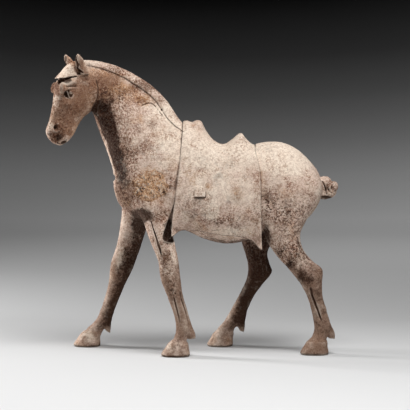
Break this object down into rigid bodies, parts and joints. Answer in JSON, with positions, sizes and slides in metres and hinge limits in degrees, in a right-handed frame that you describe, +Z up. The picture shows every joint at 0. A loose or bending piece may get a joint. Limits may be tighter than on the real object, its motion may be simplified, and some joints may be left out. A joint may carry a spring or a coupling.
{
  "type": "horse figure",
  "caption": "Striding pottery horse with a covered saddle, a draped saddle cloth, a cropped mane and a knotted tail, standing on its four hooves.",
  "frame": {"origin": "on the ground under the middle of the figure's box", "axes": "+Z up, -X the way the horse walks, -Y its left side, which is the side the picture shows"},
  "size_m": [0.4651, 0.1465, 0.476],
  "materials": {
    "earthenware": null
  },
  "bodies": {
    "root": {"horse": "earthenware"}
  },
  "joints": []
}
